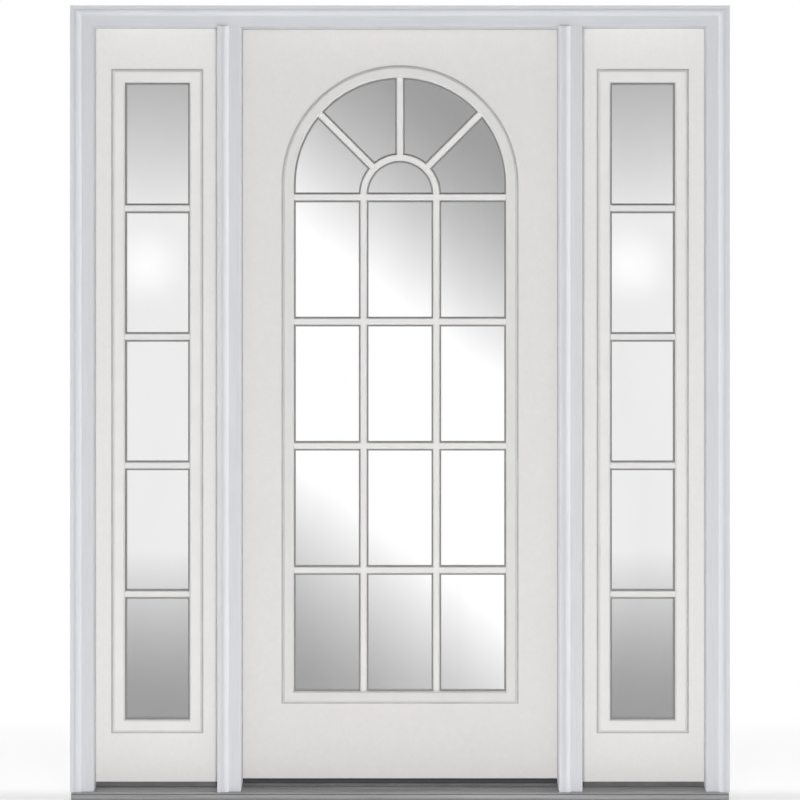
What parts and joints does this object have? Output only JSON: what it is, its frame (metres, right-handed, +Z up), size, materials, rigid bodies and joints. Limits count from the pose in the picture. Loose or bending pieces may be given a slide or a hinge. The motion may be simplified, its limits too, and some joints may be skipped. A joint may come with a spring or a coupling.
{
  "type": "prehung entry door with sidelites",
  "caption": "White prehung entry door: an arched, glazed leaf with a fan of raised bars, between fixed glazed sidelites in a cased frame on a metal sill.",
  "frame": {"origin": "on the underside of the sill, halfway along it, in the plane of the wall's outer face", "axes": "+X to the right seen from outside, +Y into the house, +Z up"},
  "size_m": [1.7526, 0.1744, 2.1082],
  "materials": {
    "door_skin": "satin white moulded fibreglass",
    "sidelite_skin": "satin white moulded fibreglass",
    "lite_frame": "white moulded plastic",
    "grille": "white moulded plastic",
    "glass": "clear",
    "spacer": "grey lacquered aluminium",
    "frame_paint": "white primed wood",
    "casing_paint": "white primed wood",
    "edge_wood": "white primed wood",
    "foam": "polyurethane foam",
    "sill_metal": "mill finish, fluted",
    "sill_board": "grey composite",
    "cap": "grey composite",
    "seal": "grey foam bulb seal",
    "sweep": "dark grey vinyl",
    "hinge_metal": "satin steel"
  },
  "bodies": {
    "frame": {"sill_substrate": "sill_board", "sill_deck": "sill_metal", "threshold_cap": "cap", "sidelite_bases": "cap", "left_jamb": "frame_paint", "right_jamb": "frame_paint", "head_jamb": "frame_paint", "left_mullion": "frame_paint", "right_mullion": "frame_paint", "left_brickmould": "casing_paint", "right_brickmould": "casing_paint", "head_brickmould": "casing_paint", "left_mullion_casing": "casing_paint", "right_mullion_casing": "casing_paint", "door_weatherstrip": "seal", "hinge_jamb_leaves": "hinge_metal", "left_sidelite_panel": "sidelite_skin", "left_sidelite_exterior_frame": "lite_frame", "left_sidelite_interior_frame": "lite_frame", "left_sidelite_glass": "glass", "left_sidelite_spacer": "spacer", "left_sidelite_exterior_grille": "grille", "left_sidelite_interior_grille": "grille", "right_sidelite_panel": "sidelite_skin", "right_sidelite_exterior_frame": "lite_frame", "right_sidelite_interior_frame": "lite_frame", "right_sidelite_glass": "glass", "right_sidelite_spacer": "spacer", "right_sidelite_exterior_grille": "grille", "right_sidelite_interior_grille": "grille"},
    "leaf": {"door_exterior_skin": "door_skin", "door_interior_skin": "door_skin", "hinge_stile": "edge_wood", "lock_stile": "edge_wood", "top_rail": "edge_wood", "bottom_rail": "edge_wood", "door_core": "foam", "door_exterior_lite_frame": "lite_frame", "door_interior_lite_frame": "lite_frame", "door_glass": "glass", "door_spacer": "spacer", "door_exterior_grille": "grille", "door_interior_grille": "grille", "door_sweep": "sweep", "hinge_door_leaves": "hinge_metal"}
  },
  "joints": [
    {"name": "leaf_hinge", "type": "hinge", "parent": "frame", "child": "leaf", "pos_m": [-0.4325, 0.1229, 1.05], "axis": [0, 0, 1], "range_deg": [0, 110]}
  ]
}
